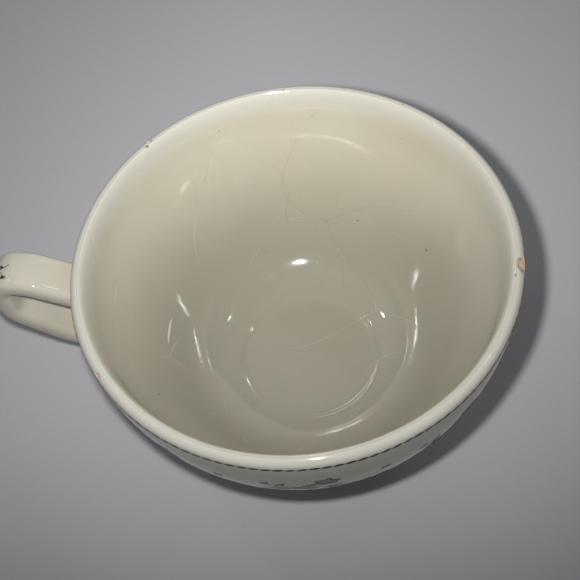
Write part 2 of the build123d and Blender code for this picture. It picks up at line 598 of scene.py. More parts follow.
def inside_place(outline, turn, drop):
    """Return a point on the inner wall: degrees round the cup, and degrees down the side's arc."""
    centre, radius = outline["side_centre"], outline["inner"]
    distance = centre[0] + radius * cos(radians(drop))
    height = centre[1] - radius * sin(radians(drop))
    return Vector((distance * cos(radians(turn)), distance * sin(radians(turn)), height))


def glaze_material(name, colours, cream, outline, craze, speck, marks=(), stain=0.0, low_painted_shade=None):
    """Glossy cream glaze with crazing, specks, waves and single marks; pale crack lines are a painted glint,
    and a given colour paints shade low in the bowl.
    """
    material, tree, shader, place = new_material(name)
    ripple = use_group(tree, effect("Glaze ripple"), Place=place, Fine=0.03)
    lip = use_group(
        tree,
        effect("Lip band"),
        Place=place,
        Lip_radius=outline["lip_centre"][0],
        Lip_height=outline["lip_centre"][1],
        Inner_edge=outline["lip"] * 0.7,
        Outer_edge=outline["lip"] * 2.7,
    )
    lines = use_group(tree, effect("Glaze crazing"), Place=place, Cell=24.0, Width=0.0030, Cover=craze)
    fine_lines = use_group(
        tree, effect("Glaze crazing"), Place=place, Cell=62.0, Width=0.0052, Cover=craze * 0.85
    )
    cracks = maths(tree, "MAXIMUM", lines.outputs[0], maths(tree, "MULTIPLY", fine_lines.outputs[0], 0.6))
    specks = use_group(tree, effect("Iron specks"), Place=place, Spacing=150.0, Size=0.055, Share=speck)
    dust = use_group(tree, effect("Iron specks"), Place=place, Spacing=520.0, Size=0.10, Share=speck * 0.8)
    dots = maths(tree, "MAXIMUM", specks.outputs[0], maths(tree, "MULTIPLY", dust.outputs[0], 0.5))
    for centre, size in marks:
        spot = use_group(tree, effect("Mark at a place"), Place=place, Centre=centre, Size=size)
        dots = maths(tree, "MAXIMUM", dots, spot.outputs[0])
    warm = tuple(c * k for c, k in zip(cream, (0.95, 0.925, 0.86)))
    tone = remap(tree, ripple.outputs["Tone"], 0.35, 0.68)
    colour = blend(tree, tone, cream, warm)
    # Painted shade: low in the bowl, by height with a little noise, the colour turns to the darker, greyer
    # one.
    if low_painted_shade:
        level = node(tree, "ShaderNodeSeparateXYZ", {0: place}).outputs["Z"]
        drift = maths(tree, "MULTIPLY_ADD", ripple.outputs["Tone"], 0.014, level)
        colour = blend(tree, remap(tree, drift, 0.022, 0.055, 1.0, 0.0), colour, low_painted_shade)
    colour = blend(tree, lip.outputs[0], colour, colours.lip)
    if stain:
        pool = remap(tree, ripple.outputs["Tone"], 0.5, 0.75, 0.0, stain)
        colour = blend(tree, pool, colour, colours.stain)
    # Crack lines: pale where the tone is low, a painted glint, and tea-stained brown where it is high.
    taken = remap(tree, ripple.outputs["Tone"], 0.46, 0.60)
    crack_stain_and_glint = blend(tree, taken, (0.84, 0.82, 0.74), colours.stain)
    colour = blend(tree, maths(tree, "MULTIPLY", cracks, 0.42), colour, crack_stain_and_glint)
    colour = blend(tree, maths(tree, "MULTIPLY", dots, 0.62), colour, (0.055, 0.038, 0.026))
    rough = remap(tree, ripple.outputs["Tone"], 0.3, 0.7, 0.04, 0.08)
    rough = maths(tree, "ADD", rough, maths(tree, "MULTIPLY", cracks, 0.15))
    tree.links.new(colour, shader.inputs["Base Color"])
    tree.links.new(rough, shader.inputs["Roughness"])
    shader.inputs["IOR"].default_value = GLAZE_IOR
    height = maths(tree, "SUBTRACT", ripple.outputs["Height"], maths(tree, "MULTIPLY", cracks, 0.4))
    bump(tree, shader, height, WAVE_DEPTH, WAVE_STRENGTH)
    return material


def clay_material(name, colours):
    """Bare, porous, pinkish-tan fired clay."""
    material, tree, shader, place = new_material(name)
    grain = node(tree, "ShaderNodeTexNoise", {"Vector": place, "Scale": 2600.0, "Detail": 4.0})
    cloud = node(tree, "ShaderNodeTexNoise", {"Vector": place, "Scale": 500.0, "Detail": 2.0})
    dark = tuple(c * 0.72 for c in colours.clay)
    light = tuple(min(c * 1.22, 1) for c in colours.clay)
    colour = blend(tree, remap(tree, cloud.outputs["Fac"], 0.35, 0.65), dark, light)
    colour = blend(tree, remap(tree, grain.outputs["Fac"], 0.5, 0.75, 0.0, 0.5), colour, light)
    specks = use_group(tree, effect("Iron specks"), Place=place, Spacing=2200.0, Size=0.3, Share=0.12)
    colour = blend(tree, maths(tree, "MULTIPLY", specks.outputs[0], 0.7), colour, (0.10, 0.06, 0.04))
    tree.links.new(colour, shader.inputs["Base Color"])
    tree.links.new(remap(tree, grain.outputs["Fac"], 0.3, 0.7, 0.7, 0.95), shader.inputs["Roughness"])
    bump(tree, shader, grain.outputs["Fac"], 0.0001, 0.8)
    return material


def foot_material(name, colours, outline):
    """Glaze on the foot ring, worn through to the clay where the cup stands."""
    material = glaze_material(name, colours, colours.cream, outline, 0.45, 0.2)
    tree = material.node_tree
    shader = tree.nodes["Principled BSDF"]
    place = node(tree, "ShaderNodeTexCoord").outputs["Object"]
    height = node(tree, "ShaderNodeSeparateXYZ", {0: place}).outputs["Z"]
    ragged = node(tree, "ShaderNodeTexNoise", {"Vector": place, "Scale": 420.0, "Detail": 3.0})
    level = maths(tree, "MULTIPLY_ADD", ragged.outputs["Fac"], -0.0016, height)
    worn = remap(tree, level, -0.0004, 0.0001, 1.0, 0.0)
    clay_roughness = 0.8
    grain = node(tree, "ShaderNodeTexNoise", {"Vector": place, "Scale": 1900.0, "Detail": 3.0})
    dirt = blend(tree, remap(tree, grain.outputs["Fac"], 0.4, 0.7), colours.clay, (0.30, 0.20, 0.13))
    colour = shader.inputs["Base Color"].links[0].from_socket
    tree.links.new(blend(tree, worn, colour, dirt), shader.inputs["Base Color"])
    gloss = shader.inputs["Roughness"].links[0].from_socket
    rougher = maths(tree, "SUBTRACT", clay_roughness, gloss)
    tree.links.new(maths(tree, "MULTIPLY_ADD", worn, rougher, gloss), shader.inputs["Roughness"])
    return material


def print_material(name, colours, hatching):
    """Brown-black print under the gloss, engraved with hatching or nearly solid."""
    material, tree, shader, place = new_material(name)
    ripple = use_group(tree, effect("Glaze ripple"), Place=place, Fine=0.03)
    hatch = node(
        tree,
        "ShaderNodeTexWave",
        {"Vector": place, "Scale": 260.0, "Distortion": 2.5, "Detail": 1.0, "Detail Scale": 2.0},
        wave_type="BANDS",
        bands_direction="DIAGONAL",
    )
    thin = node(tree, "ShaderNodeTexNoise", {"Vector": place, "Scale": 260.0, "Detail": 2.0})
    brown = (0.085, 0.052, 0.034)
    colour = blend(tree, remap(tree, thin.outputs["Fac"], 0.4, 0.7), colours.ink, brown)
    gap = maths(tree, "MULTIPLY", remap(tree, hatch.outputs["Fac"], 0.62, 0.9), hatching)
    colour = blend(tree, gap, colour, (0.34, 0.29, 0.22))
    tree.links.new(colour, shader.inputs["Base Color"])
    tree.links.new(remap(tree, thin.outputs["Fac"], 0.3, 0.7, 0.09, 0.17), shader.inputs["Roughness"])
    shader.inputs["IOR"].default_value = GLAZE_IOR
    bump(tree, shader, ripple.outputs["Height"], WAVE_DEPTH, WAVE_STRENGTH)
    return material


def floor_material(colours):
    """Plain pale matt floor with a faint unevenness."""
    material, tree, shader, place = new_material("pale_floor")
    cloud = node(tree, "ShaderNodeTexNoise", {"Vector": place, "Scale": 9.0, "Detail": 3.0})
    shade = tuple(c * 0.97 for c in colours.floor)
    colour = blend(tree, cloud.outputs["Fac"], colours.floor, shade)
    tree.links.new(colour, shader.inputs["Base Color"])
    shader.inputs["Roughness"].default_value = 0.85
    shader.inputs["Specular IOR Level"].default_value = 0.2
    return material


# ---------------------------------------------------------------- geometry trees


def lathe_tree():
    """Turn a row of outline points about the upright axis."""
    tree, start, end = new_group(
        "GeometryNodeTree",
        "Lathe",
        [
            ("Outline", "NodeSocketGeometry", None),
            ("Divisions", "NodeSocketInt", 96),
            ("Finish", "NodeSocketMaterial", None),
        ],
        [("Geometry", "NodeSocketGeometry")],
    )
    count = node(tree, "GeometryNodeAttributeDomainSize", {"Geometry": start.outputs["Outline"]})
    columns = maths(tree, "ADD", start.outputs["Divisions"], 1.0)
    sheet = node(
        tree, "GeometryNodeMeshGrid", {"Vertices X": count.outputs["Point Count"], "Vertices Y": columns}
    )
    index = tree.nodes.new("GeometryNodeInputIndex").outputs[0]
    row = maths(tree, "FLOOR", maths(tree, "DIVIDE", index, columns))
    column = maths(tree, "SUBTRACT", index, maths(tree, "MULTIPLY", row, columns))
    position = tree.nodes.new("GeometryNodeInputPosition").outputs[0]
    sample = node(tree, "GeometryNodeSampleIndex", data_type="FLOAT_VECTOR", domain="POINT")
    tree.links.new(start.outputs["Outline"], sample.inputs["Geometry"])
    tree.links.new(position, sample.inputs["Value"])
    tree.links.new(row, sample.inputs["Index"])
    angle = maths(tree, "DIVIDE", maths(tree, "MULTIPLY", column, 2 * pi), start.outputs["Divisions"])
    spun = node(
        tree,
        "ShaderNodeVectorRotate",
        {"Vector": sample.outputs["Value"], "Angle": angle},
        rotation_type="Z_AXIS",
    )
    shaped = node(
        tree, "GeometryNodeSetPosition", {"Geometry": sheet.outputs["Mesh"], "Position": spun.outputs[0]}
    )
    closed = node(
        tree, "GeometryNodeMergeByDistance", {"Geometry": shaped.outputs[0], "Distance": 0.000002}
    )
    smooth = node(tree, "GeometryNodeSetShadeSmooth", {"Geometry": closed.outputs[0]})
    solid = node(tree, "GeometryNodeRealizeInstances", {"Geometry": smooth.outputs[0]})
    done = node(
        tree,
        "GeometryNodeSetMaterial",
        {"Geometry": solid.outputs[0], "Material": start.outputs["Finish"]},
    )
    tree.links.new(done.outputs[0], end.inputs[0])
    return tree


def wrap_tree():
    """Repeat a flat motif and wrap it round the cup's side: x runs round, y runs up the side."""
    tree, start, end = new_group(
        "GeometryNodeTree",
        "Wrap round the side",
        [
            ("Motif", "NodeSocketGeometry", None),
            ("Count", "NodeSocketInt", 12),
            ("Rim radius", "NodeSocketFloat", 0.05),
            ("Side radius", "NodeSocketFloat", 0.065),
            ("Rim height", "NodeSocketFloat", 0.055),
            ("Drop", "NodeSocketFloat", 0.0),
            ("Size spread", "NodeSocketFloat", 0.1),
            ("Tilt", "NodeSocketFloat", 0.0),
            ("Seed", "NodeSocketInt", 0),
            ("Finish", "NodeSocketMaterial", None),
        ],
        [("Geometry", "NodeSocketGeometry")],
    )
    girth = maths(tree, "MULTIPLY", start.outputs["Rim radius"], 2 * pi)
    pitch = maths(tree, "DIVIDE", girth, start.outputs["Count"])
    stride = node(tree, "ShaderNodeCombineXYZ", {"X": pitch})
    first = node(
        tree, "ShaderNodeCombineXYZ", {"Y": maths(tree, "MULTIPLY", start.outputs["Drop"], -1.0)}
    )
    row = node(
        tree,
        "GeometryNodeMeshLine",
        {"Count": start.outputs["Count"], "Start Location": first.outputs[0], "Offset": stride.outputs[0]},
    )
    spread = start.outputs["Size spread"]
    scale = node(tree, "FunctionNodeRandomValue", {"Seed": start.outputs["Seed"]}, data_type="FLOAT")
    tree.links.new(maths(tree, "SUBTRACT", 1.0, spread), scale.inputs[2])
    tree.links.new(maths(tree, "ADD", 1.0, spread), scale.inputs[3])
    lean = node(tree, "FunctionNodeRandomValue", data_type="FLOAT")
    tree.links.new(maths(tree, "ADD", start.outputs["Seed"], 1.0), lean.inputs["Seed"])
    tree.links.new(maths(tree, "MULTIPLY", start.outputs["Tilt"], -1.0), lean.inputs[2])
    tree.links.new(start.outputs["Tilt"], lean.inputs[3])
    turn = node(tree, "ShaderNodeCombineXYZ", {"Z": lean.outputs[1]})
    placed = node(
        tree,
        "GeometryNodeInstanceOnPoints",
        {
            "Points": row.outputs["Mesh"],
            "Instance": start.outputs["Motif"],
            "Rotation": turn.outputs[0],
            "Scale": scale.outputs[1],
        },
    )
    solid = node(tree, "GeometryNodeRealizeInstances", {"Geometry": placed.outputs[0]})
    flat = node(
        tree, "ShaderNodeSeparateXYZ", {0: tree.nodes.new("GeometryNodeInputPosition").outputs[0]}
    )
    side = maths(tree, "ADD", start.outputs["Side radius"], flat.outputs["Z"])
    round_angle = maths(tree, "DIVIDE", flat.outputs["X"], start.outputs["Rim radius"])
    side_angle = maths(tree, "DIVIDE", flat.outputs["Y"], start.outputs["Side radius"])
    reach = maths(tree, "MULTIPLY", side, maths(tree, "COSINE", side_angle))
    back = maths(tree, "SUBTRACT", start.outputs["Rim radius"], start.outputs["Side radius"])
    distance = maths(tree, "ADD", reach, back)
    height = maths(tree, "MULTIPLY", side, maths(tree, "SINE", side_angle))
    wrapped = node(
        tree,
        "ShaderNodeCombineXYZ",
        {
            "X": maths(tree, "MULTIPLY", distance, maths(tree, "COSINE", round_angle)),
            "Y": maths(tree, "MULTIPLY", distance, maths(tree, "SINE", round_angle)),
            "Z": maths(tree, "ADD", height, start.outputs["Rim height"]),
        },
    )
    bent = node(
        tree, "GeometryNodeSetPosition", {"Geometry": solid.outputs[0], "Position": wrapped.outputs[0]}
    )
    smooth = node(tree, "GeometryNodeSetShadeSmooth", {"Geometry": bent.outputs[0]})
    done = node(
        tree,
        "GeometryNodeSetMaterial",
        {"Geometry": smooth.outputs[0], "Material": start.outputs["Finish"]},
    )
    tree.links.new(done.outputs[0], end.inputs[0])
    return tree


def linked(name, data):
    """Put a new object into the scene and return it."""
    made = bpy.data.objects.new(name, data)
    bpy.context.scene.collection.objects.link(made)
    return made


def mesh_of(name, shell):
    """Turn a bmesh into a mesh of that name, and free it."""
    mesh = bpy.data.meshes.new(name)
    shell.to_mesh(mesh)
    shell.free()
    return mesh


def grown(name, host_mesh, tree, inputs):
    """Run a geometry tree on a mesh and return the plain object that it grows."""
    host = linked(name + "_host", host_mesh)
    modifier = host.modifiers.new("Grow", "NODES")
    modifier.node_group = tree
    for item in tree.interface.items_tree:
        if item.in_out == "INPUT" and item.name in inputs:
            modifier[item.identifier] = inputs[item.name]
    return settled(name, host)


def settled(name, host):
    """Turn an object with modifiers into a plain mesh object of that name, and drop the old one."""
    bpy.context.view_layer.update()
    seen = host.evaluated_get(bpy.context.evaluated_depsgraph_get())
    mesh = bpy.data.meshes.new_from_object(seen)
    mesh.name = name
    host.modifiers.clear()
    bpy.data.objects.remove(host)
    if not mesh.polygons:
        raise RuntimeError(f"{name} came out empty")
    return linked(name, mesh)


def turned(name, points, material, turns):
    """Lathe a piece from its outline, facing outwards."""
    mesh = bpy.data.meshes.new(name + "_outline")
    mesh.from_pydata([(r, 0, z) for r, z in points], [(i, i + 1) for i in range(len(points) - 1)], [])
    tree = bpy.data.node_groups.get("Lathe") or lathe_tree()
    piece = grown(name, mesh, tree, {"Divisions": turns, "Finish": material})
    face_out(piece)
    return piece


def face_out(piece):
    """Point a closed shell's faces outwards."""
    shell = bmesh.new()
    shell.from_mesh(piece.data)
    bmesh.ops.recalc_face_normals(shell, faces=shell.faces)
    shell.to_mesh(piece.data)
    shell.free()


def scoop(name, outline, damage, material, spare):
    """Make the ragged ball that takes a chip out of the lip."""
    turn, tilt, length, depth = damage
    length, depth = length * MM + 2 * spare, depth * MM + spare * 0.6
    radius = ((length / 2) ** 2 + depth**2) / (2 * depth)
    centre = lip_place(outline, turn, tilt, depth - radius)
    ball = bmesh.new()
    bmesh.ops.create_icosphere(ball, subdivisions=5, radius=radius)
    for vert in ball.verts:
        rough = noise.fractal(vert.co * 900 + Vector((turn, tilt, 0)), 0.9, 2.0, 4)
        big = noise.noise(vert.co * 420 + Vector((tilt, 0, turn)))
        vert.co *= 1 + (0.035 * rough + 0.06 * big) * min(1, 0.001 / radius + 0.5)
        vert.co += centre
    mesh = mesh_of(name, ball)
    mesh.materials.append(material)
    return linked(name, mesh)


def chipped(piece, outline, material, spare, damages):
    """Cut the lip's damage out of a piece."""
    tools = []
    for number, damage in enumerate(damages):
        tool = scoop(f"{piece.name}_scoop_{number}", outline, damage, material, spare)
        cut = piece.modifiers.new("Chip", "BOOLEAN")
        cut.object, cut.solver, cut.operation = tool, "EXACT", "DIFFERENCE"
        cut.material_mode = "TRANSFER"
        tools.append(tool)
    name = piece.name
    piece.name = name + "_whole"
    result = settled(name, piece)
    for tool in tools:
        bpy.data.objects.remove(tool)
    return result


def hand_over(piece, slot, *nodes):
    """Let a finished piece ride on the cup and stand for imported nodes."""
    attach(piece, "root")
    if nodes:
        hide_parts(*nodes)


# ---------------------------------------------------------------- strap handle


def strap_line(room):
    """Return the strap's centre line and its directions, evenly spaced, in metres."""
    corners = [Vector((-r * MM, 0, z * MM)) for r, z in STRAP_CORNERS]
    line = [corners[0]]
    for number, bend in enumerate(STRAP_BENDS, 1):
        before, corner, after = corners[number - 1 : number + 2]
        back, on = (before - corner).normalized(), (after - corner).normalized()
        half = back.angle(on) / 2
        middle = corner + (back + on).normalized() * bend * MM / sin(half)
        start = corner + back * bend * MM / np.tan(half)
        sweep = pi - 2 * half
        spin = back.cross(on).normalized()
        line += [
            middle + Matrix.Rotation(-sweep * k / 16, 3, spin) @ (start - middle) for k in range(17)
        ]
    line.append(corners[-1])
    line = np.array([tuple(p) for p in line])
    run = np.r_[0, np.cumsum(np.linalg.norm(np.diff(line, axis=0), axis=1))]
    steps = np.linspace(0, run[-1], room)
    even = np.stack([np.interp(steps, run, line[:, k]) for k in range(3)], -1)
    ahead = np.gradient(even, axis=0)
    ahead /= np.linalg.norm(ahead, axis=1)[:, None]
    return even, ahead, steps


def strap_section(width, thickness, corner):
    """Return a soft-cornered oval as (across, out) offsets and their outward directions."""
    flatness = 2.2
    offsets = []
    for a in np.linspace(0, 2 * pi, 48, endpoint=False):
        c, s = cos(a), sin(a)
        across = (width / 2 - corner) * np.sign(c) * min(1, abs(c) * flatness)
        out = (thickness / 2 - corner) * np.sign(s) * min(1, abs(s) * flatness)
        offsets.append((across + corner * c, out + corner * s, c, s))
    return offsets


def strap_point(centre, ahead, offset):
    """Return a point of the strap's face and the way out of it."""
    side = Vector((0, 1, 0))
    up = Vector(ahead).cross(side)
    across, out, c, s = offset
    return Vector(centre) + side * across + up * out, (side * c + up * s).normalized()


def wall_gap(outline, point):
    """Return how far a point lies outside the cup's side."""
    centre = outline["side_centre"]
    return hypot(hypot(point.x, point.y) - centre[0], point.z - centre[1]) - outline["side"]


def on_wall(outline, point, depth):
    """Move a point straight onto the cup's side, at a depth."""
    centre = outline["side_centre"]
    flat = hypot(point.x, point.y)
    away = Vector((flat - centre[0], point.z - centre[1])).normalized() * (outline["side"] - depth)
    share = (centre[0] + away.x) / flat
    return Vector((point.x * share, point.y * share, centre[1] + away.y))


def joint_row(outline, line, offset, step, face):
    """Return one line of a joint: a hollow curve from strap to wall, then back below both."""
    centres, aheads, runs = line
    for meet in range(len(centres))[::step]:
        point, out = strap_point(centres[meet], aheads[meet], offset)
        if wall_gap(outline, point) > 0:
            break
    before, _ = strap_point(centres[meet - step], aheads[meet - step], offset)
    share = wall_gap(outline, point) / (wall_gap(outline, point) - wall_gap(outline, before))
    corner = point.lerp(before, share)
    k = meet
    while abs(runs[k] - runs[meet]) < JOINT_ALONG_STRAP:
        k += step
    start, _ = strap_point(centres[k], aheads[k], offset)
    end = on_wall(outline, corner + out * JOINT_ALONG_WALL, face)
    curve = [start * (1 - t) ** 2 + corner * 2 * t * (1 - t) + end * t**2 for t in np.linspace(0, 1, 10)]
    below_wall = on_wall(outline, end, 0.0008)
    root = on_wall(outline, corner - out * 0.0006, 0.0012)
    below_strap = start - out * 0.0005
    return curve + [below_wall, root, below_strap]


def ring_mesh(name, rings, closed):
    """Skin a row of rings; a closed row meets itself, an open one gets end caps."""
    shell = bmesh.new()
    rows = [[shell.verts.new(p) for p in ring] for ring in rings]
    count = len(rows[0])
    pairs = list(zip(rows, rows[1:] + rows[:1])) if closed else list(zip(rows, rows[1:]))
    for first, second in pairs:
        for k in range(count):
            after = (k + 1) % count
            shell.faces.new((first[k], first[after], second[after], second[k]))
    if not closed:
        shell.faces.new(rows[0])
        shell.faces.new(rows[-1])
    bmesh.ops.recalc_face_normals(shell, faces=shell.faces)
    for face in shell.faces:
        face.smooth = True
    return linked(name, mesh_of(name, shell))


# ---------------------------------------------------------------- printed motifs


def strip(points, widths):
    """Return the two edges of a flat ribbon along a line of (x, y) points."""
    points = np.array(points, float)
    ahead = np.gradient(points, axis=0)
    ahead /= np.linalg.norm(ahead, axis=1)[:, None] + 1e-12
    side = np.stack([-ahead[:, 1], ahead[:, 0]], -1)
    half = np.array(widths)[:, None] / 2
    return points - side * half, points + side * half


def add_strip(mesh, points, widths):
    """Add a ribbon to a flat bmesh."""
    low, high = strip(points, widths)
    right = [mesh.verts.new((x, y, 0)) for x, y in low]
    left = [mesh.verts.new((x, y, 0)) for x, y in high]
    for k in range(len(points) - 1):
        mesh.faces.new((right[k], right[k + 1], left[k + 1], left[k]))


def add_leaf(mesh, root, direction, length, width, curl):
    """Add a pointed leaf as two blades with a clear midrib between them."""
    rows, rib = 7, 0.00004
    t = np.linspace(0, 1, rows)
    angle = direction + curl * (t - 0.2)
    steps = np.stack([np.cos(angle), np.sin(angle)], -1) * length / (rows - 1)
    spine = np.array(root) + np.r_[[[0, 0]], np.cumsum(steps[:-1], axis=0)]
    swell = width * np.sin(pi * t**0.8) ** 0.85 / 2
    for sign in (-1, 1):
        normal = np.stack([-np.sin(angle), np.cos(angle)], -1) * sign
        blade = spine + normal * (swell / 2 + rib)[:, None]
        add_strip(mesh, blade, np.maximum(swell - rib, rib))


def sprig_mesh():
    """Draw one flat sprig: a curved stem with leaves, buds and an open flower."""
    mesh = bmesh.new()
    t = np.linspace(0, 1, 30)
    x = (t - 0.5) * 0.0265
    y = 0.0032 * np.sin(t * 2 * pi) - 0.0012
    add_strip(mesh, np.stack([x, y], -1), 0.00042 - 0.0002 * t)
    for number, share in enumerate(np.linspace(0.08, 0.9, 11)):
        k = int(share * 29)
        heading = atan2(y[min(k + 1, 29)] - y[k - 1], x[min(k + 1, 29)] - x[k - 1])
        side = 1 if number % 2 else -1
        size = 0.0052 - 0.0022 * share
        add_leaf(mesh, (x[k], y[k]), heading + side * 0.95, size, size * 0.42, -side * 0.5)
    centre = np.array((0.0, 0.0052))
    add_strip(mesh, [(-0.0022, 0.0012), (-0.0011, 0.0026), (0.0, 0.0036)], (0.0003, 0.00028, 0.00025))
    for petal in range(6):
        angle = petal * pi / 3 + 0.3
        start = centre + 0.0007 * np.array((cos(angle), sin(angle)))
        add_leaf(mesh, start, angle, 0.0024, 0.0019, 0.12)
    ring = [centre + 0.00048 * np.array((cos(a), sin(a))) for a in np.linspace(0, 2 * pi, 13)]
    add_strip(mesh, ring, [0.0003] * 13)
    for side in (-1, 1):
        bud = np.array((side * 0.0118, -side * 0.0002 + 0.0042))
        add_strip(mesh, [bud - (side * 0.0016, 0.0028), bud], (0.00025, 0.0002))
        for turn in (-0.45, 0, 0.45):
            add_leaf(mesh, bud, pi / 2 - side * 0.3 + turn, 0.0021, 0.0008, 0.1)
    return mesh_of("sprig_motif", mesh)


def solidify(piece, depth):
    """Thicken a sheet inwards from its face."""
    wall = piece.modifiers.new("Thickness", "SOLIDIFY")
    wall.thickness = depth
    wall.offset = -1


def on_strap(name, motif, middle, size, room):
    """Lay a flat motif along the strap's outer face, its middle at a distance along the strap."""
    centres, aheads, runs = strap_line(400)
    side = Vector((0, 1, 0))
    for vert in motif.vertices:
        place = middle + vert.co.x * size
        centre = Vector([float(np.interp(place, runs, centres[:, k])) for k in range(3)])
        ahead = Vector([float(np.interp(place, runs, aheads[:, k])) for k in range(3)]).normalized()
        vert.co = centre - side * vert.co.y * size - ahead.cross(side) * SPRAY_LEVEL / 2
    piece = linked(name, motif)
    solidify(piece, room)
    return piece


def dash_mesh(length, width):
    """Draw one short stroke of the rim border, thicker in its middle."""
    mesh = bmesh.new()
    t = np.linspace(-1, 1, 9)
    line = np.stack([t * length / 2, 0.00007 * np.sin(t * pi)], -1)
    add_strip(mesh, line, width * np.sqrt(np.maximum(1 - t**2, 0.10)))
    return mesh_of("dash_motif", mesh)


# ---------------------------------------------------------------- operators


class TEACUP_OT_body(Operator):
    """Lathe the clay bowl and its three glaze coats, and chip the lip"""

    bl_idname = "teacup.body"
    bl_label = "Bowl and glaze coats"

    def execute(self, context):
        scene = context.scene
        shape, colours = scene.teacup_shape, scene.teacup_colours
        o = cup_outline(shape)
        face, back = shape.print_room, shape.glaze
        lip_marks = [(lip_place(o, turn, tilt), size * MM * 0.6) for turn, tilt, size, _ in NICKS]
        lip_marks += [(lip_place(o, turn, tilt), size * MM) for turn, tilt, size in LIP_MARKS]
        inner_marks = [(inside_place(o, turn, drop), size * MM) for turn, drop, size in INNER_MARKS]
        clay = clay_material("fired_clay", colours)
        # Painted light and shade: the inner glaze is lighter high up and darker low in the bowl.
        inner = glaze_material(
            "inner_glaze_cream", colours, colours.inside, o, 0.62, 0.14, lip_marks + inner_marks,
            low_painted_shade=tuple(colours.low_painted_shade),
        )
        outer = glaze_material("outer_glaze_cream", colours, colours.cream, o, 0.42, 0.12, lip_marks)
        base = glaze_material("base_glaze_cream", colours, colours.cream, o, 0.52, 0.2, stain=0.5)

        bowl_line = outside_points(o, back, 0)[::-1] + inside_points(o, back)[1:]
        bowl = turned("clay_bowl", bowl_line, clay, shape.turns)
        bowl = chipped(bowl, o, clay, 0.0, (CHIP,))
        hand_over(bowl, "biscuit", "bowl")

        inside_line = inside_points(o, face)[::-1] + inside_points(o, back)
        lining = turned("inside_glaze_coat", inside_line, inner, shape.turns)
        lining = chipped(lining, o, clay, FLAKE_SPARE, (CHIP,) + NICKS)
        hand_over(lining, "inner_glaze", "inner_glaze")

        edge = FOOT_HIGH.x
        outside_line = outside_points(o, face, edge)[::-1] + outside_points(o, back, edge)
        coat = turned("outside_glaze_coat", outside_line + outside_line[:1], outer, shape.turns)
        coat = chipped(coat, o, clay, FLAKE_SPARE, (CHIP,) + NICKS)
        hand_over(coat, "outer_glaze", "outer_glaze")

        recess, middle_patch = BASE_HIGH.x, 0.008
        lines = []
        for depth in (face, back):
            points = outside_points(o, depth, 0)
            kept = [p for p in points if p[0] < recess]
            radius = o["heel"] - depth
            drop = sqrt(radius**2 - (recess - o["heel_centre"][0]) ** 2)
            kept = [(recess, o["heel_centre"][1] - drop)] + kept
            middle = kept[-1]
            lines.append(kept[:-1] + [(middle[0] + middle_patch, middle[1]), middle])
        patch = turned("base_glaze_coat", lines[0][::-1] + lines[1], base, 160)
        hand_over(patch, "base_glaze", "base_glaze")
        return {"FINISHED"}


class TEACUP_OT_foot(Operator):
    """Lathe the foot ring with its worn standing edge"""

    bl_idname = "teacup.foot"
    bl_label = "Foot ring"

    def execute(self, context):
        scene = context.scene
        shape, colours = scene.teacup_shape, scene.teacup_colours
        o = cup_outline(shape)
        outer, inner = FOOT_HIGH.x, BASE_HIGH.x
        taper, start, ease, edge = 0.001, 0.0026, 0.0006, 0.0008
        points = []
        for radius, sign in ((inner, 1), (outer, -1)):
            foot = radius + sign * taper
            rise = o["heel"] - 2 * shape.glaze
            top = o["heel_centre"][1] - sqrt(rise**2 - (radius - o["heel_centre"][0]) ** 2)
            side = [(radius, top), (radius, start + ease)]
            side += [(radius + sign * taper * s * s * 0.5, start + ease * (1 - 2 * s)) for s in (0.4, 0.8)]
            lean = atan2(start, taper)
            corner = (foot + sign * edge * np.tan(lean / 2) * 0.98, edge)
            sweep = np.linspace(pi / 2 + sign * lean, pi / 2, 7)
            points.append(side + [(corner[0] + edge * cos(a), corner[1] - edge * sin(a)) for a in sweep])
        line = points[0] + points[1][::-1]
        finish = foot_material("foot_glaze_worn", colours, o)
        ring = turned("foot_ring_glazed", line + line[:1], finish, 200)
        hand_over(ring, "foot", "foot_ring")
        return {"FINISHED"}


class TEACUP_OT_handle(Operator):
    """Bend the strap handle and smooth its two joints onto the wall"""

    bl_idname = "teacup.handle"
    bl_label = "Handle and joints"

    def execute(self, context):
        scene = context.scene
        shape, colours = scene.teacup_shape, scene.teacup_colours
        o = cup_outline(shape)
        width = STRAP_HIGH.y * 2 - 2 * shape.print_room
        section = strap_section(width, STRAP_THICK - 2 * shape.print_room, STRAP_ROUND)
        centres, aheads, runs = strap_line(170)
        finish = glaze_material("handle_glaze_cream", colours, colours.cream, o, 0.38, 0.14, stain=0.22)
        sunk = 0.0022
        rings = []
        for centre, ahead in zip(centres, aheads):
            if wall_gap(o, Vector(centre)) > -sunk:
                rings.append([strap_point(centre, ahead, offset)[0] for offset in section])
        strap = ring_mesh("strap_handle", rings, False)
        strap.data.materials.append(finish)
        hand_over(strap, "handle", "handle")

        line = (centres, aheads, runs)
        for name, packed, step in (
            ("upper_joint", "upper_handle_joint", 1),
            ("lower_joint", "lower_handle_joint", -1),
        ):
            rows = [joint_row(o, line, offset, step, shape.print_room) for offset in section]
            rings = [[row[k] for row in rows] for k in range(len(rows[0]))]
            joint = ring_mesh(name, rings, True)
            joint.data.materials.append(finish)
            hand_over(joint, "handle_joint", packed)
        return {"FINISHED"}


